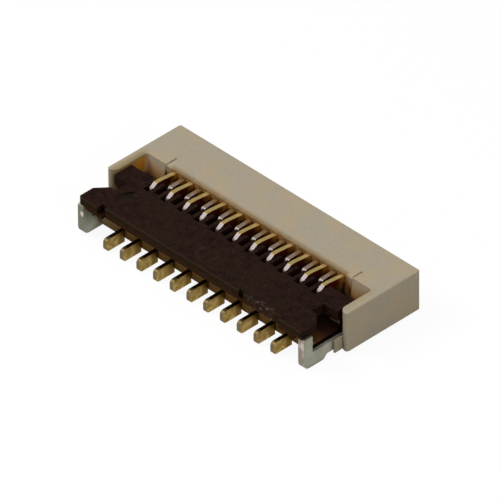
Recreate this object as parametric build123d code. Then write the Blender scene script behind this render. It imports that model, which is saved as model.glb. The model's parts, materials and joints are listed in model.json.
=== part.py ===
from build123d import *
import os

# A board-mounted connector for flat flexible cable, with a back-flip actuator that clamps the cable.
# Lengths are millimetres. Reach is measured forwards from the rear face, where the cable goes in,
# to the side where the actuator and the longer tails are. Height is measured up from the board.

# the row of contacts and the flat cable that it takes
contact_count = 21
pitch = 0.3
cable_clearance = 0.05

# contacts, stamped from sheet and standing on edge across the cable
contact_sheet = 0.12
contact_clearance = 0.01
beam_bottom = 0.13
beam_depth = 0.17
beam_end_gap = 0.06
front_tail_length = 0.65
front_tail_height = 0.36
rear_tail_length = 0.26
rear_tail_height = 0.28
tail_radius = 0.11
column_setback = 0.23
column_width = 0.2

# the two fingers of a contact, with a rounded nose on each that touches the cable
long_finger_place = 0.5
short_finger_place = 0.84
finger_depth = 0.12
finger_gap = 0.03
finger_taper = 0.05
nose_width = 0.14
nose_rise = 0.07
nose_gap = 0.16
nose_radius = 0.05

# the arm of a contact, which the actuator's cam lifts
arm_depth = 0.15
long_arm_overhang = 0.31
long_arm_tip_length = 0.27
long_arm_top_gap = 0.02
long_arm_hump = 0.06
short_arm_setback = 0.05
short_arm_step = 0.12
tip_radius = 0.09
hook_drop = 0.06
hook_width = 0.1

# the seat of a contact, which the cam turns in
seat_length = 0.44
seat_cheek_height = 0.08

# housing, moulded in one piece
housing_lift = 0.05
end_width = 0.95
wall_thickness = 0.27
wall_length = 0.58
wall_nose_radius = 0.2
roof_reach = 1.43
roof_skin = 0.1
roof_chamfer = 0.04
base_length = 1.27
base_front_relief = 0.06
floor_top = 0.48
slot_height = 0.34
slot_lead_in = 0.1
groove_rear_reach = 0.3
groove_end_gap = 0.18
lug_lean = 0.09
lug_knee_height = 0.7
corner_radius = 0.08
top_edge_chamfer = 0.02
pocket_radius = 0.1
slit_length = 0.36
slit_width = 0.05
slit_depth = 0.03
cheek_thickness = 0.05
cheek_length = 0.24

# actuator, moulded in one piece and lying closed over the front of the housing
axis_setback = 0.57
axis_height = 0.77
hub_radius = 0.2
cam_core_radius = 0.12
cam_lift = 0.19
cam_flat = 0.12
cam_clearance = 0.02
web_height = 0.4
web_margin = 0.01
plate_overhang = 0.48
plate_thickness = 0.29
plate_edge_radius = 0.04
slot_end_gap = 0.18
slot_stagger = 0.08
slot_side_clearance = 0.03
actuator_side_clearance = 0.04
pivot_block_overhang = 0.04
notch_length = 0.4
notch_depth = 0.49
shoulder_depth = 0.3
shoulder_length = 0.34
shoulder_radius = 0.1
ear_width = 0.83
ear_overhang = 0.11
ear_corner_radius = 0.08
ear_relief = 0.07
ear_relief_length = 0.66
saddle_width = 0.36
saddle_inset = 0.08
saddle_length = 0.6
saddle_depth = 0.15

# two small notches in the front edge, one beside the left ear and one at a share of the half width
edge_notch_width = 0.17
edge_notch_depth = 0.09
edge_notch_height = 0.2
edge_notch_share = 0.431

# fittings, stamped from sheet, that solder the ends of the housing to the board
fitting_sheet = 0.2
fitting_inset = 0.35
fitting_clearance = 0.01
fitting_length = 0.57
fitting_overlap = 0.33
fitting_post_width = 0.31
fitting_post_gap = 0.03
fitting_bar_top = 0.43
fitting_foot_length = 0.68
fitting_rise = 0.13
fitting_foot_radius = 0.2
fitting_edge_radius = 0.08

overrun = 0.5

# widths that follow from the row
cable_width = (contact_count + 1) * pitch
slot_width = cable_width + 2 * cable_clearance
housing_width = slot_width + 2 * end_width
inner_width = housing_width - 2 * wall_thickness
actuator_width = inner_width - 2 * actuator_side_clearance
actuator_slot_width = contact_sheet + 2 * slot_side_clearance
row_width = (contact_count - 1) * pitch + actuator_slot_width
groove_width = contact_sheet + 2 * contact_clearance
fitting_place = housing_width / 2 - fitting_inset
base_width = 2 * fitting_place - fitting_sheet - 2 * fitting_clearance
saddle_place = (base_width - saddle_width) / 2 - saddle_inset
cheek_place = fitting_place + fitting_sheet / 2 + fitting_clearance + cheek_thickness / 2
ear_place = (actuator_width - ear_width) / 2
left_notch_place = ear_width - (actuator_width + edge_notch_width) / 2
right_notch_place = edge_notch_share * actuator_width / 2

# reaches that follow from the roof
lug_reach = roof_reach + lug_lean
column_reach = roof_reach - column_setback
column_front_reach = column_reach + column_width
axis_reach = roof_reach + axis_setback
wall_reach = axis_reach + wall_length
base_reach = axis_reach + base_length
front_tail_reach = base_reach + front_tail_length
plate_reach = base_reach + plate_overhang
ear_reach = plate_reach + ear_overhang
long_arm_reach = axis_reach + long_arm_overhang
long_arm_crest_reach = long_arm_reach - long_arm_tip_length
short_arm_reach = axis_reach - short_arm_setback
long_slot_reach = long_arm_reach + slot_end_gap
short_slot_reach = long_slot_reach - slot_stagger
web_reach = short_slot_reach - web_margin
seat_radius = cam_core_radius + cam_clearance
short_groove_reach = axis_reach + seat_length / 2 + groove_end_gap
beam_rear_reach = groove_rear_reach + beam_end_gap
pivot_block_reach = wall_reach + pivot_block_overhang
notch_front_reach = pivot_block_reach + notch_length
shoulder_reach = notch_front_reach + shoulder_length
fitting_reach = base_reach + fitting_length
fitting_rear_reach = roof_reach - fitting_overlap

# heights that follow from the floor and the axis
beam_top = beam_bottom + beam_depth
slot_ceiling = floor_top + slot_height
arm_bottom = axis_height + cam_lift + cam_clearance
contact_top = arm_bottom + arm_depth
groove_ceiling = contact_top + contact_clearance
housing_top = groove_ceiling + roof_skin
long_arm_top = housing_top - long_arm_top_gap
long_arm_root_height = long_arm_top - long_arm_hump
short_arm_top = long_arm_top - short_arm_step
plate_top = axis_height + web_height
plate_bottom = plate_top - plate_thickness
fitting_post_top = plate_bottom + ear_relief - fitting_post_gap

# the part's own origin lies under the middle of its footprint
origin_reach = (front_tail_reach - rear_tail_length) / 2


def bar(reach_from, reach_to, height_from, height_to):
    # a rectangle of the side view
    middle = Pos((reach_from + reach_to) / 2, (height_from + height_to) / 2)
    return middle * Rectangle(reach_to - reach_from, height_to - height_from)


def outline(*points):
    # a straight-sided face of the side view
    return make_face(Polyline(*points, close=True))


def disc(reach, height, radius):
    return Pos(reach, height) * Circle(radius)


def rounded(face, radius, *corners):
    # the side view with the corners nearest to the given points rounded
    chosen = [face.vertices().sort_by_distance(Vector(*corner))[0] for corner in corners]
    return fillet(chosen, radius)


def across(face, place, width):
    # a side view made into a solid of some width, centred at a place along the row
    plane = Plane((place, 0, 0), x_dir=(0, -1, 0), z_dir=(-1, 0, 0))
    return extrude(plane * face, width / 2, both=True)


def plan(points, height_from, height_to):
    # a solid that stands on a plan outline, given as places along the row and reaches
    face = make_face(Polyline(*[(place, -reach) for place, reach in points], close=True))
    return extrude(Pos(0, 0, height_from) * face, height_to - height_from, dir=(0, 0, 1))


def corner_waste(place, reach, radius, inward):
    # what a rounded upright corner takes away, where inward is the way along the row into the piece
    centre = place + inward * radius
    square = plan(
        [(place, reach + overrun), (place, reach - radius),
         (centre, reach - radius), (centre, reach + overrun)],
        -overrun, housing_top + overrun,
    )
    height = housing_top + 2 * overrun
    return square - Pos(centre, radius - reach, housing_top / 2) * Cylinder(radius, height)


def contact_row():
    # the place of each contact, and whether its tail is at the front
    middle = (contact_count - 1) / 2
    return [((number - middle) * pitch, number % 2 == 0) for number in range(contact_count)]


def upper_finger(place):
    # the finger that presses down on the cable when the actuator closes
    end = place - nose_width / 2
    bottom = slot_ceiling + finger_gap
    tip = (place, floor_top + nose_rise + nose_gap)
    finger = outline(
        (column_reach, bottom),
        (place + nose_width / 2, bottom),
        tip,
        (end, bottom),
        (end, bottom + finger_depth),
        (column_reach, contact_top),
    )
    return rounded(finger, nose_radius, tip)


def lower_finger(place):
    # the low spring under the cable, whose nose stands just above the floor
    end = place - nose_width / 2
    top = floor_top - finger_gap
    tip = (place, floor_top + nose_rise)
    finger = outline(
        (column_front_reach, beam_bottom),
        (column_front_reach, beam_top + finger_taper),
        (place + nose_width / 2, top),
        tip,
        (end, top),
        (end, top - finger_depth + finger_taper),
        (column_reach, beam_bottom),
    )
    return rounded(finger, nose_radius, tip)


def seat():
    # the rounded seat that the cam turns in, with a cheek in front of it
    rear = axis_reach - seat_length / 2
    front = axis_reach + seat_length / 2
    corner = (axis_reach + seat_radius, axis_height - seat_radius)
    side = outline(
        (rear, beam_bottom),
        (front, beam_bottom),
        (front, axis_height + seat_cheek_height),
        (axis_reach + seat_radius, axis_height + seat_cheek_height),
        corner,
        (rear, axis_height - seat_radius),
    )
    return rounded(side, seat_radius, corner)


def long_arm():
    # the arm that the cam lifts, humped over the actuator and ending in a hook
    hook_rear = long_arm_reach - hook_width
    hook_bottom = arm_bottom - hook_drop
    tip_top = long_arm_root_height - hook_drop
    arm = outline(
        (column_reach, arm_bottom),
        (hook_rear, arm_bottom),
        (hook_rear, hook_bottom),
        (long_arm_reach, hook_bottom),
        (long_arm_reach, tip_top),
        (long_arm_crest_reach + tip_radius, long_arm_top),
        (long_arm_crest_reach - tip_radius, long_arm_top),
        (roof_reach, long_arm_root_height),
        (roof_reach, contact_top),
        (column_reach, contact_top),
    )
    return rounded(
        arm, tip_radius,
        (long_arm_reach, tip_top),
        (long_arm_crest_reach + tip_radius, long_arm_top),
    )


def short_arm():
    # the arm of a contact between two long ones, lower and shorter
    arm = outline(
        (column_reach, arm_bottom),
        (short_arm_reach, arm_bottom),
        (short_arm_reach, short_arm_top),
        (roof_reach, contact_top),
        (column_reach, contact_top),
    )
    return rounded(arm, tip_radius, (short_arm_reach, short_arm_top))


def tail(reach_from, reach_to, height, tip_reach):
    # a solder tail on the board, rounded at its tip above and below
    side = bar(reach_from, reach_to, 0, height)
    return rounded(side, tail_radius, (tip_reach, 0), (tip_reach, height))


def front_contact():
    # a contact whose tail is at the front, under the actuator
    beam = bar(beam_rear_reach, base_reach, beam_bottom, beam_top)
    neck = bar(short_groove_reach, front_tail_reach - tail_radius, beam_bottom, front_tail_height)
    foot = tail(base_reach + contact_clearance, front_tail_reach, front_tail_height, front_tail_reach)
    column = bar(column_reach, column_front_reach, beam_bottom, contact_top)
    fingers = upper_finger(long_finger_place) + lower_finger(long_finger_place)
    return across(beam + neck + foot + column + seat() + long_arm() + fingers, 0, contact_sheet)


def rear_contact():
    # a contact whose tail is at the rear, under the cable
    beam = bar(-tail_radius, short_groove_reach - contact_clearance, beam_bottom, beam_top)
    foot = tail(-rear_tail_length, -contact_clearance, rear_tail_height, -rear_tail_length)
    column = bar(column_reach, column_front_reach, beam_bottom, contact_top)
    fingers = upper_finger(short_finger_place) + lower_finger(short_finger_place)
    return across(beam + foot + column + seat() + short_arm() + fingers, 0, contact_sheet)


def cable_slot():
    # the slot that the cable slides into, with a mouth that leads it in
    side = outline(
        (-overrun, floor_top - slot_lead_in),
        (0, floor_top - slot_lead_in),
        (slot_lead_in, floor_top),
        (column_reach, floor_top),
        (column_reach, slot_ceiling),
        (slot_lead_in, slot_ceiling),
        (0, slot_ceiling + slot_lead_in),
        (-overrun, slot_ceiling + slot_lead_in),
    )
    half = slot_width / 2
    flare = half + slot_lead_in
    mouth = [
        (-flare, 0), (-half, slot_lead_in), (half, slot_lead_in),
        (flare, 0), (flare, -overrun), (-flare, -overrun),
    ]
    return across(side, 0, slot_width) + plan(mouth, floor_top, slot_ceiling)


def contact_groove(place, front_tail):
    # the groove that a contact is pushed into, from the front or from the rear
    if front_tail:
        start = groove_rear_reach
        end = base_reach + overrun
    else:
        start = -overrun
        end = short_groove_reach
    return across(bar(start, end, beam_bottom, groove_ceiling), place, groove_width)


def fitting_groove(place):
    # the groove that a fitting is pressed into, open at the front and below
    start = fitting_rear_reach - fitting_clearance
    end = base_reach + overrun
    side = bar(start, end, -overrun, fitting_bar_top + fitting_clearance)
    side = side + bar(lug_reach, end, -overrun, floor_top)
    return across(side, place, fitting_sheet + 2 * fitting_clearance)


def pocket():
    # the space over the floor that the actuator lies in, narrower between the two lugs
    top = housing_top + overrun
    end = wall_reach + overrun
    lean = outline(
        (roof_reach, top),
        (roof_reach, housing_top),
        (lug_reach, lug_knee_height),
        (lug_reach, floor_top),
        (end, floor_top),
        (end, top),
    )
    wide = across(lean, 0, inner_width)
    rear = wide.edges().filter_by(lambda edge: -edge.center().Y < (lug_reach + end) / 2)
    ends = rear.filter_by(lambda edge: abs(edge.center().X) > slot_width / 2)
    upright = ends.filter_by(lambda edge: edge.bounding_box().size.Z > lug_lean)
    wide = fillet(upright, pocket_radius)
    middle = across(bar(roof_reach, end, floor_top, top), 0, slot_width)
    return wide + middle


def saddle(place):
    # the bearing block under each end of the actuator
    rear = axis_reach - saddle_length / 2
    front = axis_reach + saddle_length / 2
    side = bar(rear, front, floor_top, axis_height - saddle_depth)
    side = side - disc(axis_reach, axis_height, hub_radius + cam_clearance)
    return across(side, place, saddle_width)


def housing():
    block = across(bar(0, wall_reach, housing_lift, housing_top), 0, housing_width)
    block = fillet(block.edges().filter_by(Axis.Z), corner_radius)
    top_edges = block.edges().filter_by(lambda edge: edge.center().Z > housing_top - top_edge_chamfer)
    block = chamfer(top_edges, top_edge_chamfer)
    base = outline(
        (lug_reach, housing_lift),
        (base_reach - base_front_relief, housing_lift),
        (base_reach, housing_lift + base_front_relief),
        (base_reach, floor_top),
        (lug_reach, floor_top),
    )
    body = block - pocket()
    for side in (-1, 1):
        body = body - corner_waste(side * inner_width / 2, wall_reach, wall_nose_radius, side)
    body = body + across(base, 0, base_width)
    cheek = bar(axis_reach, wall_reach + cheek_length, housing_lift, fitting_bar_top)
    slit_rear = roof_reach - slit_length
    slit = bar(slit_rear, roof_reach + slit_depth, housing_top - slit_depth, housing_top + overrun)
    for side in (-1, 1):
        body = body + saddle(side * saddle_place)
        body = body + across(cheek, side * cheek_place, cheek_thickness)
        body = body - fitting_groove(side * fitting_place)
        body = body - across(slit, side * (slot_width - slit_width) / 2, slit_width)
    edge = outline(
        (roof_reach - roof_chamfer, housing_top),
        (roof_reach, housing_top - roof_chamfer),
        (roof_reach + roof_chamfer, housing_top),
    )
    body = body - across(edge, 0, slot_width) - cable_slot()
    for place, front_tail in contact_row():
        body = body - contact_groove(place, front_tail)
    return body


def cam():
    # the bar through the slots that lifts the contacts' arms, round below with a flat-topped lobe
    lobe_top = axis_height + cam_lift
    lobe = outline(
        (axis_reach - cam_core_radius, axis_height),
        (axis_reach - cam_flat / 2, lobe_top),
        (axis_reach + cam_flat / 2, lobe_top),
        (axis_reach + cam_core_radius, axis_height),
    )
    return across(lobe + disc(axis_reach, axis_height, cam_core_radius), 0, row_width)


def end_notch(side):
    # the gap at each end of the actuator, between its pivot block and the ear over the fitting
    edge = side * (actuator_width / 2 + overrun)
    inner = side * (actuator_width / 2 - notch_depth)
    points = [
        (edge, pivot_block_reach),
        (inner, pivot_block_reach),
        (inner, notch_front_reach),
        (side * (actuator_width / 2 - shoulder_depth), notch_front_reach),
        (side * actuator_width / 2, shoulder_reach),
        (edge, shoulder_reach),
    ]
    gap = plan(points, -overrun, plate_top + overrun)
    shoulder = (side * (actuator_width / 2 - shoulder_depth), -notch_front_reach, plate_top)
    edge = gap.edges().filter_by(Axis.Z).sort_by_distance(Vector(*shoulder))[0]
    return fillet(edge, shoulder_radius)


def actuator():
    # the plate and the webs that carry the cam, with a slot for each contact cut between the webs
    plate = outline(
        (axis_reach - hub_radius, axis_height),
        (axis_reach, plate_top),
        (plate_reach, plate_top),
        (plate_reach, plate_bottom),
        (web_reach, plate_bottom),
        (axis_reach + hub_radius, axis_height),
        (axis_reach + cam_core_radius, axis_height - seat_radius),
        (axis_reach - cam_core_radius, axis_height - seat_radius),
    )
    plate = rounded(plate, plate_edge_radius, (plate_reach, plate_top))
    body = across(plate, 0, actuator_width)
    ear = bar(notch_front_reach, ear_reach, plate_bottom, plate_top)
    ear = rounded(ear, plate_edge_radius, (ear_reach, plate_top))
    for side in (-1, 1):
        body = body + across(ear, side * ear_place, ear_width)
    for place, front_tail in contact_row():
        slot_reach = long_slot_reach if front_tail else short_slot_reach
        cut = bar(axis_reach - overrun, slot_reach, axis_height - overrun, plate_top + overrun)
        body = body - across(cut, place, actuator_slot_width)
    body = body + cam()
    hub = disc(axis_reach, axis_height, hub_radius)
    hub_width = (actuator_width - row_width) / 2
    relief_reach = ear_reach - ear_relief_length
    relief = bar(relief_reach, ear_reach + overrun, -overrun, plate_bottom + ear_relief)
    for side in (-1, 1):
        body = body + across(hub, side * (row_width + hub_width) / 2, hub_width)
        body = body - end_notch(side) - across(relief, side * fitting_place, 2 * fitting_sheet)
        body = body - corner_waste(side * actuator_width / 2, ear_reach, ear_corner_radius, -side)
    notch_rear = plate_reach - edge_notch_depth
    notch = bar(notch_rear, ear_reach + overrun, plate_top - edge_notch_height, plate_top + overrun)
    for place in (left_notch_place, right_notch_place):
        body = body - across(notch, place, edge_notch_width)
    return body


def fitting():
    # the foot on the board, the bar into the housing, and the post under the actuator's ear
    foot_rear = fitting_reach - fitting_foot_length
    post_rear = fitting_reach - fitting_post_width
    side = outline(
        (fitting_rear_reach, fitting_rise),
        (foot_rear - fitting_rise, fitting_rise),
        (foot_rear, 0),
        (fitting_reach, 0),
        (fitting_reach, fitting_post_top),
        (post_rear, fitting_post_top),
        (post_rear, fitting_bar_top),
        (fitting_rear_reach, fitting_bar_top),
    )
    side = rounded(side, fitting_foot_radius, (fitting_reach, 0))
    side = rounded(
        side, fitting_edge_radius,
        (foot_rear - fitting_rise, fitting_rise),
        (foot_rear, 0),
        (fitting_reach, fitting_post_top),
    )
    return across(side, 0, fitting_sheet)


def write(name, solid):
    # every piece goes out in the part's own frame, centred over its footprint
    export_step(Pos(0, origin_reach, 0) * solid, "parts/" + name + ".step")


os.makedirs("parts", exist_ok=True)
write("housing", housing())
write("actuator", actuator())
write("fitting_left", Pos(-fitting_place, 0, 0) * fitting())
write("fitting_right", Pos(fitting_place, 0, 0) * fitting())
long_contact = front_contact()
short_contact = rear_contact()
for number, (place, front_tail) in enumerate(contact_row(), 1):
    contact = long_contact if front_tail else short_contact
    write(f"contact_{number:02d}", Pos(place, 0, 0) * contact)
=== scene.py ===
import json
import math
import bpy
from mathutils import Matrix, Vector


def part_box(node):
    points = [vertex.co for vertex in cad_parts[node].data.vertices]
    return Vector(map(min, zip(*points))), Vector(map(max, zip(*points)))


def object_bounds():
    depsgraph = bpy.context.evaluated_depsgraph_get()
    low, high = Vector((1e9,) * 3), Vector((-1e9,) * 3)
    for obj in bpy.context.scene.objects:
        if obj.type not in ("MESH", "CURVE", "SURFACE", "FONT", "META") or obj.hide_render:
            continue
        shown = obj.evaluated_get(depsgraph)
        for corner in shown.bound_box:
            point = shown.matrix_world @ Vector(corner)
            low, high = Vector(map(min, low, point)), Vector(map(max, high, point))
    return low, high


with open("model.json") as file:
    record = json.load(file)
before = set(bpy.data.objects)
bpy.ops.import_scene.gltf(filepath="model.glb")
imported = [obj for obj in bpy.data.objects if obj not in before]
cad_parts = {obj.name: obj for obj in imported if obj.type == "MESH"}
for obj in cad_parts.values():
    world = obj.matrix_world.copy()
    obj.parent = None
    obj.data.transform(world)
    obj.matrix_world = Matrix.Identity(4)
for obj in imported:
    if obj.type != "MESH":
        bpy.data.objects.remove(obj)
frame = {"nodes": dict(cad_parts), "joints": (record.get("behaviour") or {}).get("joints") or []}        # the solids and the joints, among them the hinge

cadBox = [list(corner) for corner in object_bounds()]    # the solids' own box, before anything is dressed
nodes = frame["nodes"]
mm = 0.001


# where the row stands in the frame, read from the solids themselves

housingLow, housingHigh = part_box("housing")
plateLow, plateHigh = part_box("actuator")
hinge = Vector(frame["joints"][0]["pos_m"])
longContacts = [n for n in nodes if n.startswith("contact_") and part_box(n)[0].y < housingLow.y]
shortContacts = [n for n in nodes if n.startswith("contact_") and n not in longContacts]
print("long contacts:", len(longContacts), "short contacts:", len(shortContacts))

# how far from a known face each reading is taken, in millimetres
reading = {
    "roofSkin": 0.01,
    "roofReach": 0.3,
    "armRise": 0.16,
    "plateRim": 0.2,
}


def frontOf(name, above, halfWidth=housingHigh.x):
    # how far forward, in millimetres, a solid comes above a height and within a distance of the middle
    points = [vertex.co for vertex in nodes[name].data.vertices]
    return min(p.y for p in points if p.z > above and abs(p.x) < halfWidth) / mm


def bottomOf(name, before):
    # how low, in millimetres, a solid goes in front of a place
    return min(vertex.co.z for vertex in nodes[name].data.vertices if vertex.co.y < before) / mm


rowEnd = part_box(longContacts[-1])[1].x
roofLevel = housingHigh.z - reading["roofSkin"] * mm
armLevel = hinge.z + reading["armRise"] * mm

# places in millimetres, as the materials use them
roofEdge = frontOf("housing", roofLevel, rowEnd + reading["roofReach"] * mm)
longArmEnd = frontOf(longContacts[0], armLevel)
shortArmEnd = frontOf(shortContacts[0], armLevel)
rowHalf = rowEnd / mm
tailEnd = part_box(longContacts[0])[0].y / mm
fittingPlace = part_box("fitting_right")[1].x / mm
fittingMiddle = (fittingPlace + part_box("fitting_right")[0].x / mm) / 2
hingeLine = hinge.y / mm
hingeHeight = hinge.z / mm
print("arms end at", round(longArmEnd, 3), "and", round(shortArmEnd, 3))
print("roof ends at", round(roofEdge, 3))


# shader maths

class Flow:
    # one output socket in a material's tree, so that sums on it read as sums and add their own nodes

    def __init__(self, tree, socket=None):
        self.tree = tree
        self.socket = socket

    def node(self, kind, settings=None, inputs=None, output=0):
        # any node: its settings first, then the values or links of its inputs, by name or number
        made = self.tree.nodes.new(kind)
        for name, value in (settings or {}).items():
            setattr(made, name, value)
        for name, value in (inputs or {}).items():
            if isinstance(value, Flow):
                self.tree.links.new(value.socket, made.inputs[name])
            else:
                made.inputs[name].default_value = value
        return Flow(self.tree, made.outputs[output])

    def isVector(self):
        return self.socket.type in ("VECTOR", "RGBA")

    def sum(self, operation, first, second):
        # numbers meet in Math, vectors and colours in Vector Math
        kind = "ShaderNodeMath"
        parts = (first, second)
        if any(isinstance(part, Flow) and part.isVector() for part in parts):
            kind = "ShaderNodeVectorMath"
            parts = [(part,) * 3 if isinstance(part, (int, float)) else part for part in parts]
        return self.node(kind, {"operation": operation}, {0: parts[0], 1: parts[1]})

    def __add__(self, other):
        return self.sum("ADD", self, other)

    def __radd__(self, other):
        return self.sum("ADD", other, self)

    def __sub__(self, other):
        return self.sum("SUBTRACT", self, other)

    def __rsub__(self, other):
        return self.sum("SUBTRACT", other, self)

    def __mul__(self, other):
        return self.sum("MULTIPLY", self, other)

    def __rmul__(self, other):
        return self.sum("MULTIPLY", other, self)

    def __neg__(self):
        return self.sum("MULTIPLY", self, -1)

    def part(self, axis):
        return self.node("ShaderNodeSeparateXYZ", inputs={0: self}, output=axis)

    def size(self):
        return self.node("ShaderNodeMath", {"operation": "ABSOLUTE"}, {0: self})

    def band(self, low, high, start=0):
        # 0 below low, 1 above high and a smooth rise between them, both counted from start
        inputs = {"Value": self, "From Min": start + low, "From Max": start + high}
        return self.node("ShaderNodeMapRange", {"interpolation_type": "SMOOTHSTEP"}, inputs)

    def mix(self, first, second):
        # a colour from first to second as this number goes from 0 to 1
        # (a Mix node's colours are its inputs 6 and 7 and its output 2)
        inputs = {"Factor": self, 6: first, 7: second}
        return self.node("ShaderNodeMix", {"data_type": "RGBA"}, inputs, output=2)

    def lay(self, paint, body):
        # a paint, which is a colour and its strength, over a body where this number is 1
        colour, strength = paint
        return (self * strength).mix(body, colour)


def rgb(red, green, blue):
    # a colour given as it looks on a screen, from 0 to 255, made linear
    def straight(value):
        value /= 255
        return value / 12.92 if value <= 0.04045 else ((value + 0.055) / 1.055) ** 2.4
    return (straight(red), straight(green), straight(blue), 1.0)


class Finish:
    # a material with one Principled shader, its place in millimetres and its usual helpers

    def __init__(self, name, fixed):
        self.material = bpy.data.materials.new(name)
        self.material.use_nodes = True
        self.tree = self.material.node_tree
        self.shader = self.tree.nodes["Principled BSDF"]
        self.flow = Flow(self.tree)
        for socket, value in fixed.items():
            self.shader.inputs[socket].default_value = value
        self.place = self.flow.node("ShaderNodeTexCoord", output="Object") * (1 / mm)
        self.facing = self.flow.node("ShaderNodeTexCoord", output="Normal")

    def feed(self, socket, value):
        self.tree.links.new(value.socket, self.shader.inputs[socket])

    def noise(self, size, detail=3.0, roughness=0.55, stretch=None):
        # cloudy noise with blotches of about this size, in millimetres
        where = self.place if stretch is None else self.place * stretch
        inputs = {"Vector": where, "Scale": 1 / size, "Detail": detail, "Roughness": roughness}
        return self.flow.node("ShaderNodeTexNoise", inputs=inputs)

    def hollow(self, distance):
        # 0 in the open and 1 deep in a corner or a groove
        inputs = {"Distance": distance * mm}
        return 1 - self.flow.node("ShaderNodeAmbientOcclusion", {"samples": 8}, inputs, output="AO")

    def away(self, point, axes):
        # how far a place is from a point, along the given axes only
        run = (self.place - point) * axes
        return self.flow.node("ShaderNodeVectorMath", {"operation": "LENGTH"}, {0: run}, output="Value")

    def stroke(self, start, end, width):
        # 1 along a short straight line, seen from above, and 0 beside it, with soft sides and ends
        run = Vector(end) - Vector(start)
        along = run.normalized()
        x = self.place.part("X") - start[0]
        y = self.place.part("Y") - start[1]
        beside = (y * along.x - x * along.y).size()
        forward = x * along.x + y * along.y
        ends = forward.band(0, width) * (1 - forward.band(-width, 0, start=run.length))
        return (1 - beside.band(width / 4, width / 2)) * ends

    def bump(self, height, depth, under=None):
        inputs = {"Height": height, "Distance": depth * mm, "Strength": 1.0}
        if under is not None:
            inputs["Normal"] = under
        return self.flow.node("ShaderNodeBump", inputs=inputs)


# The dictionaries below hold colours, paints (a colour and its strength), sizes in millimetres,
# and pairs whose names end in Band: the value where a mask starts and the value where it is full.

# the housing's plastic: pale outside, with a painted amber glow where light comes through its thin walls,
# and painted shade in its corners and pocket

housingLook = {
    "shader": {"IOR": 1.5, "Specular IOR Level": 0.12},
    "warm": rgb(165, 150, 125),
    "cool": rgb(156, 148, 132),
    "face": (rgb(162, 151, 130), 0.35),
    # painted glow and shade at the roof's front edge and on the end walls' tops
    "edgeGlow": (rgb(120, 92, 46), 1.0),
    "wallGlow": (rgb(122, 106, 62), 0.75),
    # painted shade by how hollow a place is: amber where light comes through the walls, brown and near
    # black deep in the pocket
    "amber": rgb(178, 118, 38),
    "brown": rgb(134, 103, 50),
    "deep": rgb(34, 13, 5),
    # painted shade, lighter brown, near the housing's front
    "frontShade": rgb(84, 50, 24),
    "mottle": 0.7,                  # broad blotches
    "mottleBand": (0.35, 0.65),
    "fine": 0.105,                  # fine grain over them
    "fineBand": (0.3, 0.7),
    "fineDark": 0.93,
    "fineLight": 0.14,
    "patch": 0.7 / 3,               # patches where the glow is uneven
    "patchDark": 0.7,
    "patchLight": 0.5,
    "patchDepth": 0.1,
    "glowWidth": 0.18,
    "edgeBand": (-0.045, 0.18),     # from the roof's front edge
    "rim": 0.03,                    # how close to the top and the outer sides a glow comes
    "rightShade": 0.75,             # how much less the right wall glows
    "lowBand": (0.62, 0.74),        # heights where low in the pocket ends
    "outwardBand": (0.2, 0.4),      # as shares of the fittings' place
    "rearBand": (0.6, 0.9),
    "frontBand": (0.5, 0.9),
    "hollow": 1.0,
    "amberShare": 0.65,
    "amberInward": 0.7,
    "amberLow": 0.5,
    "amberBand": (0.3, 0.6),
    "farBand": (-0.1, 0.3),         # from the hinge
    "deepShare": 0.8,
    "deepPocket": 0.25,
    "deepBand": (0.55, 0.85),
    "frontShadeBand": (0.1, 0.5),         # from the housing's front
    "grain": 0.035,
    "grainDepth": 0.0012,
    "roughness": 0.66,
    "sheen": 0.35,
    "sheenRange": 0.12,
}


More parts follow.
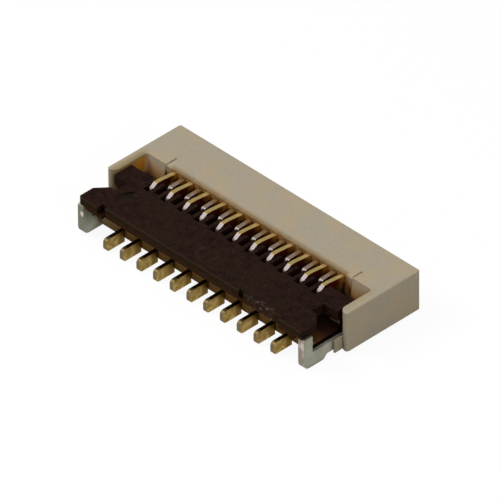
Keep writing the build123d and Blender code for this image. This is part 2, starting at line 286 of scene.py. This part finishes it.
def housingPlastic(look):
    finish = Finish("housing_plastic", look["shader"])
    x = finish.place.part("X")
    y = finish.place.part("Y")
    height = finish.place.part("Z")
    across = x.size()
    sideways = x * finish.facing.part("X")       # above 0 on outward faces, below 0 on inward ones
    patches = finish.noise(look["patch"])

    # broad blotches under a fine grain
    mottle = finish.noise(look["mottle"]).band(*look["mottleBand"])
    fine = finish.noise(look["fine"], detail=4.0)
    body = fine.band(*look["fineBand"]).lay(look["face"], mottle.mix(look["cool"], look["warm"]))
    body = body * (look["fineDark"] + look["fineLight"] * fine)

    # painted light: the roof's front edge gets a painted amber glow and shade above the arms, and so do
    # the end walls' tops, the left one most, as the light falls from the left
    low = 1 - height.band(*look["lowBand"])
    besideRow = across.band(0, look["glowWidth"], start=rowHalf)
    edge = (1 - besideRow) * (1 - y.band(*look["edgeBand"], start=roofEdge))
    uneven = (look["patchDark"] + look["patchLight"] * patches) * (1 - low)
    body = (edge * uneven).lay(look["edgeGlow"], body)
    beyond = across.band(fittingMiddle, fittingPlace)
    wall = beyond * (1 - across.band(fittingPlace, housingHigh.x / mm - look["rim"]))
    openFront = 1 - y.band(-look["glowWidth"], look["glowWidth"], start=roofEdge)
    leftMost = 1 - look["rightShade"] * x.band(-rowHalf, rowHalf)
    body = (wall * openFront * leftMost).lay(look["wallGlow"], body)

    # where the painted shade may fall, and how deep: inside, not on the top, the outer sides or the rear
    below = 1 - height.band(-2 * look["rim"], -look["rim"], start=housingHigh.z / mm)
    outward = sideways.band(*[part * fittingPlace for part in look["outwardBand"]]) * beyond
    rear = finish.facing.part("Y").band(*look["rearBand"])
    inside = below * (1 - outward) * (1 - rear)
    depth = (finish.hollow(look["hollow"]) + look["patchDepth"] * (patches - 0.5)) * inside

    # painted shade by how hollow a place is: an amber glow on the walls that look in, brown low in the
    # pocket, and near black at its bottom, lighter brown near the housing's front
    pocket = low * (1 - beyond)
    inward = (-sideways).band(rowHalf, fittingPlace)
    middle = 1 - across.band(rowHalf, fittingMiddle)
    share = look["amberShare"] + look["amberInward"] * inward + look["amberLow"] * middle * pocket
    amber = (depth * share).band(*look["amberBand"]) * (1 - beyond * low)
    far = y.band(*look["farBand"], start=hingeLine)
    body = (amber * (1 - pocket)).mix(body, far.mix(look["brown"], look["amber"]))
    body = (amber * pocket).mix(body, look["brown"])
    well = pocket * (1 - (-finish.facing.part("Y")).band(*look["frontBand"]))
    deep = depth * (look["deepShare"] + well) + look["deepPocket"] * besideRow * well
    nearFront = 1 - y.band(*look["frontShadeBand"], start=housingLow.y / mm)
    body = deep.band(*look["deepBand"]).mix(body, nearFront.mix(look["deep"], look["frontShade"]))

    finish.feed("Base Color", body)
    finish.feed("Roughness", look["roughness"] + look["sheenRange"] * finish.noise(look["sheen"]))
    finish.feed("Normal", finish.bump(finish.noise(look["grain"], detail=4.0), look["grainDepth"]))
    return finish.material


# the actuator's dark plastic, with a few marks placed by shares of the plate

plateHalf = plateHigh.x / mm
plateFront = plateLow.y / mm
plateLength = hingeLine - plateFront
plateBottom = bottomOf("actuator", plateLow.y + reading["plateRim"] * mm)
plateMiddle = (plateBottom + plateHigh.z / mm) / 2

actuatorLook = {
    "shader": {"IOR": 1.5, "Specular IOR Level": 0.03},
    "dark": rgb(15, 6, 3),
    "face": rgb(35, 20, 15),
    "scuff": (rgb(66, 47, 40), 0.5),
    "warm": (rgb(36, 26, 14), 0.4),
    # painted light on the plate's front edge: olive and brown on its face, a highlight on the lip
    "frontOlive": (rgb(38, 28, 13), 0.8),
    "frontBrown": (rgb(52, 28, 12), 0.7),
    "lip": (rgb(54, 41, 33), 0.5),
    # painted shade in the plate's hollows
    "black": (rgb(26, 8, 4), 1.0),
    "fleck": (rgb(140, 116, 110), 0.5),
    "ring": (rgb(66, 47, 40), 0.25),
    "line": (rgb(6, 2, 2), 1.0),
    "mottle": 0.2,
    "mottleBand": (0.32, 0.6),
    "scuffSize": 0.2 / 3,
    "scuffBand": (0.52, 0.7),
    "warmSize": 1.0,
    "warmBand": (0.45, 0.65),
    "facingBand": (0.6, 0.9),
    "frontBand": (0.2, 0.3),            # from the plate's front edge
    "lowerBand": (-0.06, 0.04),         # from the middle of its thickness
    "lipBand": (1.1, 1.35),
    "hollow": 0.3,
    "hollowBand": (0.25, 0.6),
    "fleckShares": (0.47, 0.75),        # where the flecks start and end
    "fleckFade": 0.2,
    "fleckEdgeBand": (0.14, 0.26),      # from the plate's front edge
    "fleckSize": 0.12,
    "fleckBand": (0.5, 0.72),
    "ringShares": (0.0, 0.328),         # the ring's middle
    "ringRadius": 0.28,
    "ringBand": (0.01, 0.05),
    "ringWearBand": (0.35, 0.6),
    "ringHeight": 0.3,
    "lineStartShares": (-0.829, 0.403),
    "lineEndShares": (-0.769, 0.635),
    "lineWidth": 0.12,
    "lineDepth": 0.06,
    "grain": 0.06,
    "grainDepth": 0.006,
    "roughness": 0.6,
    "roughnessRange": 0.2,
}


def onPlate(shares):
    # X counts from the plate's middle to its end, Y from its front edge to the hinge
    return (shares[0] * plateHalf, plateFront + shares[1] * plateLength)


def actuatorPlastic(look):
    finish = Finish("actuator_plastic", look["shader"])
    x = finish.place.part("X")
    y = finish.place.part("Y")

    # worn dark plastic
    mottle = finish.noise(look["mottle"], detail=5.0).band(*look["mottleBand"])
    body = mottle.mix(look["dark"], look["face"])
    scuff = finish.noise(look["scuffSize"], detail=6.0, roughness=0.7)
    body = scuff.band(*look["scuffBand"]).lay(look["scuff"], body)
    body = finish.noise(look["warmSize"]).band(*look["warmBand"]).lay(look["warm"], body)

    # painted light on the front edge: its face is painted olive above and brown below, and the lip is
    # paler, a painted highlight
    front = (-finish.facing.part("Y")).band(*look["facingBand"])
    front = front * (1 - y.band(*look["frontBand"], start=plateFront))
    body = front.lay(look["frontOlive"], body)
    lower = 1 - finish.place.part("Z").band(*look["lowerBand"], start=plateMiddle)
    body = (front * lower).lay(look["frontBrown"], body)
    lip = (finish.facing.part("Z") - finish.facing.part("Y")).band(*look["lipBand"])
    body = lip.lay(look["lip"], body)
    # painted shade: near black deep in the slots and notches
    body = finish.hollow(look["hollow"]).band(*look["hollowBand"]).lay(look["black"], body)

    # pale flecks along one stretch of that edge
    left, right = [share * plateHalf for share in look["fleckShares"]]
    fade = look["fleckFade"]
    stretch = x.band(0, fade, start=left) * (1 - x.band(-fade, 0, start=right))
    fleck = finish.noise(look["fleckSize"]).band(*look["fleckBand"])
    fleck = fleck * (1 - y.band(*look["fleckEdgeBand"], start=plateFront)) * stretch
    body = fleck.lay(look["fleck"], body)

    # the round mark that an ejector pin leaves, and a thin dark line over a shallow groove
    beside = finish.away((*onPlate(look["ringShares"]), 0), (1, 1, 0)) - look["ringRadius"]
    ringWear = finish.noise(look["mottle"]).band(*look["ringWearBand"])
    ring = (1 - beside.size().band(*look["ringBand"])) * ringWear
    body = ring.lay(look["ring"], body)
    lineStart = onPlate(look["lineStartShares"])
    lineEnd = onPlate(look["lineEndShares"])
    line = finish.stroke(lineStart, lineEnd, look["lineWidth"])

    finish.feed("Base Color", line.lay(look["line"], body))
    finish.feed("Roughness", look["roughness"] + look["roughnessRange"] * mottle)
    grain = finish.noise(look["grain"], detail=5.0) + ring * look["ringHeight"]
    groove = finish.bump(1 - line, look["lineDepth"])
    finish.feed("Normal", finish.bump(grain, look["grainDepth"], under=groove))
    return finish.material


# the contacts' gold plate: mottled tails with painted shade on those under the plate, and bright arms
# with painted shade, glow and highlights, the tips painted pale

goldLook = {
    "shader": {"Metallic": 1.0},
    "tail": rgb(171, 148, 86),
    "tailWarm": rgb(138, 108, 44),
    # painted shade: the tails' dark top, dimmer corner and dark root
    "tailTop": (rgb(40, 16, 6), 1.0),
    "tailFront": (rgb(116, 100, 72), 1.0),
    "tailCorner": (rgb(94, 82, 56), 1.0),
    "tailRoot": (rgb(106, 78, 12), 1.0),
    # painted shade on the arms' sides, turning into a painted glow near the roof
    "cheek": rgb(104, 34, 22),
    "cheekGlow": rgb(205, 158, 60),
    # painted highlight: the arms' pale tips
    "tip": (rgb(159, 150, 149), 1.0),
    "tarnish": (rgb(92, 64, 26), 0.4),
    "sideBand": (0.6, 0.85),
    "upBand": (0.6, 0.85),
    "frontBand": (0.2, 0.6),
    "cloud": 0.14,
    "cloudBand": (0.4, 0.62),
    "cornerBand": (0.1, 0.2),           # from the tails' ends
    "tailRootBand": (0.34, 0.5),
    "armRootBand": (-0.28, -0.14),      # from the roof's front edge
    "cheekBand": (-0.3, 0.0),
    "armHeightBand": (0.42, 0.6),       # heights between the tails' finish and the arms'
    "raisedBand": (0.1, 0.14),          # from the hinge, for the tips
    "tipFull": 0.8,                     # how much of the tip is pale in full, before it fades
    "tipSideLoss": 0.6,
    "stain": 0.16,
    "stainBand": (0.52, 0.75),
    "roughness": 0.4,
    "roughnessRange": 0.18,
    "tipRoughness": 0.2,
    "rolled": 0.03,
    "rolledStretch": (1.0, 0.15, 1.0),
    "rolledDepth": 0.0012,
}

# what sets the long contacts' arms apart from the short ones'

longArms = {
    "name": "gold_plate",
    "arm": rgb(151, 132, 80),
    # painted highlight at the long arms' roots
    "root": rgb(172, 142, 92),
    "armEnd": longArmEnd,
    "tipLength": 0.19,
}

shortArms = {
    "name": "gold_plate_short",
    "arm": rgb(124, 107, 94),
    # painted shade at the short arms' roots
    "root": rgb(116, 90, 58),
    "armEnd": shortArmEnd,
    "tipLength": 0.07,
}


def goldPlate(look, arms):
    finish = Finish(arms["name"], look["shader"])
    y = finish.place.part("Y")
    height = finish.place.part("Z")
    side = finish.facing.part("X").size().band(*look["sideBand"])
    up = finish.facing.part("Z").band(*look["upBand"])
    front = (-finish.facing.part("Y")).band(*look["frontBand"])

    # the tails: mottled sides, a dull end, a corner dimmed by painted shade, and painted shade on the top
    # and root of the ones in front, which lie under the plate
    cloud = finish.noise(look["cloud"], detail=5.0, roughness=0.6).band(*look["cloudBand"])
    tail = cloud.mix(look["tailWarm"], look["tail"])
    covered = 1 - y.band(hingeLine, 0)
    pastCorner = y.band(*look["cornerBand"], start=tailEnd)
    tail = (up * pastCorner * covered).lay(look["tailTop"], tail)
    tail = front.lay(look["tailFront"], tail)
    tail = (up * (1 - pastCorner)).lay(look["tailCorner"], tail)
    nearRoot = y.band(*look["tailRootBand"], start=tailEnd) * (1 - up) * covered
    tail = nearRoot.lay(look["tailRoot"], tail)

    # the arms: bright on top, with painted shade on the cheeks that turns into a painted glow near the
    # roof, a painted highlight at the long arms' roots and painted shade at the short arms' roots, and
    # pale tips that are a painted highlight
    top = y.band(*look["armRootBand"], start=roofEdge).mix(arms["arm"], arms["root"])
    cheek = y.band(*look["cheekBand"], start=roofEdge).mix(look["cheek"], look["cheekGlow"])
    top = side.mix(top, cheek)
    fullLength = arms["tipLength"] * look["tipFull"]
    tip = 1 - y.band(fullLength, arms["tipLength"], start=arms["armEnd"])
    tip = tip * height.band(*look["raisedBand"], start=hingeHeight)
    top = (tip * (1 - side * look["tipSideLoss"])).lay(look["tip"], top)

    body = height.band(*look["armHeightBand"]).mix(tail, top)
    stain = finish.noise(look["stain"], detail=4.0).band(*look["stainBand"]) * (1 - tip)
    finish.feed("Base Color", stain.lay(look["tarnish"], body))
    rolled = finish.noise(look["rolled"], stretch=look["rolledStretch"])
    roughness = look["roughness"] + look["roughnessRange"] * rolled + look["tipRoughness"] * tip
    finish.feed("Roughness", roughness)
    finish.feed("Normal", finish.bump(rolled, look["rolledDepth"]))
    return finish.material


# the fittings' tin plate

tinLook = {
    "shader": {"Metallic": 1.0},
    "dull": rgb(136, 135, 120),
    "face": rgb(155, 154, 139),
    # painted light on the posts' fronts, the left one in painted shade
    "front": rgb(142, 131, 120),
    "leftFront": rgb(122, 122, 104),
    "shade": (rgb(70, 58, 36), 0.7),
    # painted shade on the bar's top
    "barTop": (rgb(24, 15, 10), 1.0),
    # painted highlights on the posts' fronts
    "spot": (rgb(204, 194, 188), 0.8),
    "glint": (rgb(204, 194, 188), 1.0),
    "cloud": 0.36,
    "cloudBand": (0.3, 0.75),
    "facingBand": (0.6, 0.9),
    "hollow": 0.4,
    "hollowBand": (0.3, 0.7),
    "barBand": (0.45, 0.5),             # height over the board
    "innerBand": (-0.01, 0.03),         # from the middle of the sheet
    "spotSize": 0.48,
    "spotBand": (0.56, 0.7),
    "glintPlace": (-3.89, 0, 0.65),     # on the left post's front
    "glintBand": (0.04, 0.1),
    "grain": 0.06,
    "grainDepth": 0.002,
    "roughness": 0.5,
    "roughnessRange": 0.15,
}


def tinPlate(look):
    finish = Finish("tin_plate", look["shader"])
    x = finish.place.part("X")
    cloud = finish.noise(look["cloud"]).band(*look["cloudBand"])
    body = cloud.mix(look["dull"], look["face"])
    # painted light: the posts' fronts are coloured as lit from the front, the left one darker in painted
    # shade
    front = (-finish.facing.part("Y")).band(*look["facingBand"])
    right = x.band(-rowHalf, rowHalf)
    body = front.mix(body, right.mix(look["leftFront"], look["front"]))
    body = finish.hollow(look["hollow"]).band(*look["hollowBand"]).lay(look["shade"], body)

    # painted shade: the bar's top is dark along the housing
    up = finish.facing.part("Z").band(*look["facingBand"])
    low = 1 - finish.place.part("Z").band(*look["barBand"])
    inner = 1 - x.size().band(*look["innerBand"], start=fittingMiddle)
    body = (up * low * inner).lay(look["barTop"], body)

    # painted highlights: bright spots on the posts' fronts
    spot = finish.noise(look["spotSize"], detail=1.0).band(*look["spotBand"])
    body = (spot * front * right).lay(look["spot"], body)
    glint = 1 - finish.away(look["glintPlace"], (1, 0, 1)).band(*look["glintBand"])
    finish.feed("Base Color", (glint * front).lay(look["glint"], body))
    grain = finish.noise(look["grain"], detail=5.0)
    finish.feed("Roughness", look["roughness"] + look["roughnessRange"] * grain)
    finish.feed("Normal", finish.bump(grain, look["grainDepth"]))
    return finish.material


# every solid gets its finish and soft edges

edgeLook = {
    "widths": {"housing": 0.012, "actuator": 0.012, "contact": 0.012, "fitting": 0.015},
    "segments": 2,
    "angle": 40,
}


def wear(names, material):
    # gives solids their finish, in place of the plain one that they came with
    for name in names:
        nodes[name].data.materials.clear()
        nodes[name].data.materials.append(material)


def soften(name, look):
    # the slight roundness that moulding and plating leave on every edge
    edge = nodes[name].modifiers.new("softEdge", "BEVEL")
    edge.width = look["widths"][name.split("_")[0]] * mm
    edge.segments = look["segments"]
    edge.limit_method = "ANGLE"
    edge.angle_limit = math.radians(look["angle"])
    edge.use_clamp_overlap = True
    edge.harden_normals = True


wear(["housing"], housingPlastic(housingLook))
wear(["actuator"], actuatorPlastic(actuatorLook))
wear(longContacts, goldPlate(goldLook, longArms))
wear(shortContacts, goldPlate(goldLook, shortArms))
wear(["fitting_left", "fitting_right"], tinPlate(tinLook))
for name in nodes:
    soften(name, edgeLook)
print("finishes on", len(nodes), "nodes")


# the camera, placed so that the middle of the housing's lower rear edge falls on its own pixel

photoView = {
    "azimuth": 45.962,
    "elevation": 37.09,
    "roll": -0.456,
    "pixelsPerMm": 39.93,
    "framePixels": 500,
    "distance": 400,
    "sensor": 36.0,
    "markPixel": (300.148, 234.441),
    "markPoint": Vector((0, housingHigh.y, housingLow.z)),
}


def takeView(view):
    azimuth = math.radians(view["azimuth"])
    elevation = math.radians(view["elevation"])
    roll = math.radians(view["roll"])
    right = Vector((math.cos(azimuth), math.sin(azimuth), 0))
    back = Vector((math.sin(azimuth) * math.cos(elevation),
                   -math.cos(azimuth) * math.cos(elevation),
                   math.sin(elevation)))
    up = back.cross(right)
    across = right * math.cos(roll) + up * math.sin(roll)
    upright = up * math.cos(roll) - right * math.sin(roll)

    # from the marked point to the point behind the picture's middle, level with the part's own middle
    half = view["framePixels"] / 2
    perPixel = mm / view["pixelsPerMm"]
    target = view["markPoint"] - across * (view["markPixel"][0] - half) * perPixel
    target = target - upright * (half - view["markPixel"][1]) * perPixel
    middle = (Vector(cadBox[0]) + Vector(cadBox[1])) / 2
    target = target + back * (middle - target).dot(back)

    distance = view["distance"] * mm
    camera = bpy.data.objects.new("camera", bpy.data.cameras.new("camera"))
    bpy.context.scene.collection.objects.link(camera)
    camera.data.sensor_width = view["sensor"]
    camera.data.lens = view["sensor"] * distance / (view["framePixels"] * perPixel)
    camera.data.clip_start = distance / 10
    camera.data.clip_end = distance * 2
    turn = Matrix((across, upright, back)).transposed().to_4x4()
    camera.matrix_world = Matrix.Translation(target + back * distance) @ turn
    bpy.context.scene.camera = camera


takeView(photoView)
print("camera in place")


# light and floor

studio = {
    "fill": 0.34,                       # how strong the world's own light is, where 1 is white
    "white": (1.0, 1.0, 1.0, 1.0),
    "lamps": {
        "keyLamp": {"place": (-45, -30, 60), "size": 34, "share": 0.5, "colour": (1.0, 0.985, 0.96)},
        "topLamp": {"place": (0, -10, 70), "size": 50, "share": 0.28, "colour": (1.0, 1.0, 1.0)},
        "sideLamp": {"place": (60, -20, 34), "size": 26, "share": 0.26, "colour": (1.0, 0.985, 0.96)},
    },
}

floorLook = {
    "dull": (0.5, 0.49, 0.46, 1.0),     # for the light that it throws back
    "bright": (0.98, 0.98, 0.98, 1.0),  # where it is seen
    "white": 0.92,                      # how much of it shines white where it is seen
    "size": 160,
    "gap": 0.002,                       # keeps the floor clear of the tails' undersides
}


def seenRay(flow):
    # 1 for rays that show the background: straight, mirrored or through glass
    seen = flow.node("ShaderNodeLightPath", output="Is Camera Ray")
    for name in ("Is Glossy Ray", "Is Transmission Ray"):
        seen = flow.sum("MAXIMUM", seen, flow.node("ShaderNodeLightPath", output=name))
    return seen


def lightStudio(setup):
    world = bpy.data.worlds.new("studio")
    bpy.context.scene.world = world
    world.use_nodes = True
    background = world.node_tree.nodes["Background"]
    background.inputs["Color"].default_value = setup["white"]
    level = seenRay(Flow(world.node_tree)) * (1 - setup["fill"]) + setup["fill"]
    world.node_tree.links.new(level.socket, background.inputs["Strength"])
    for name, look in setup["lamps"].items():
        where = Vector(look["place"]) * mm
        lamp = bpy.data.lights.new(name, "AREA")
        lamp.shape = "DISK"
        lamp.size = look["size"] * mm
        lamp.color = look["colour"]
        lamp.energy = look["share"] * (math.pi * where.length) ** 2
        holder = bpy.data.objects.new(name, lamp)
        holder.location = where
        holder.rotation_euler = where.to_track_quat("Z", "Y").to_euler()
        bpy.context.scene.collection.objects.link(holder)


def layFloor(look):
    # a square of paper, bright or dull by the kind of ray that meets it
    half = look["size"] * mm / 2
    mesh = bpy.data.meshes.new("floor")
    corners = [(-half, -half, 0), (half, -half, 0), (half, half, 0), (-half, half, 0)]
    mesh.from_pydata(corners, [], [(0, 1, 2, 3)])
    floor = bpy.data.objects.new("floor", mesh)
    floor.location.z = cadBox[0][2] - look["gap"] * mm
    bpy.context.scene.collection.objects.link(floor)
    material = bpy.data.materials.new("floorPaper")
    material.use_nodes = True
    tree = material.node_tree
    tree.nodes.remove(tree.nodes["Principled BSDF"])
    flow = Flow(tree)
    seen = seenRay(flow)
    paper = flow.node("ShaderNodeBsdfDiffuse", inputs={"Color": seen.mix(look["dull"], look["bright"])})
    white = flow.node("ShaderNodeEmission", inputs={"Strength": 1.0})
    both = flow.node("ShaderNodeMixShader", inputs={0: seen * look["white"], 1: paper, 2: white})
    tree.links.new(both.socket, tree.nodes["Material Output"].inputs["Surface"])
    mesh.materials.append(material)


lightStudio(studio)
layFloor(floorLook)
bpy.context.scene.view_settings.view_transform = "Standard"
print("studio lit")
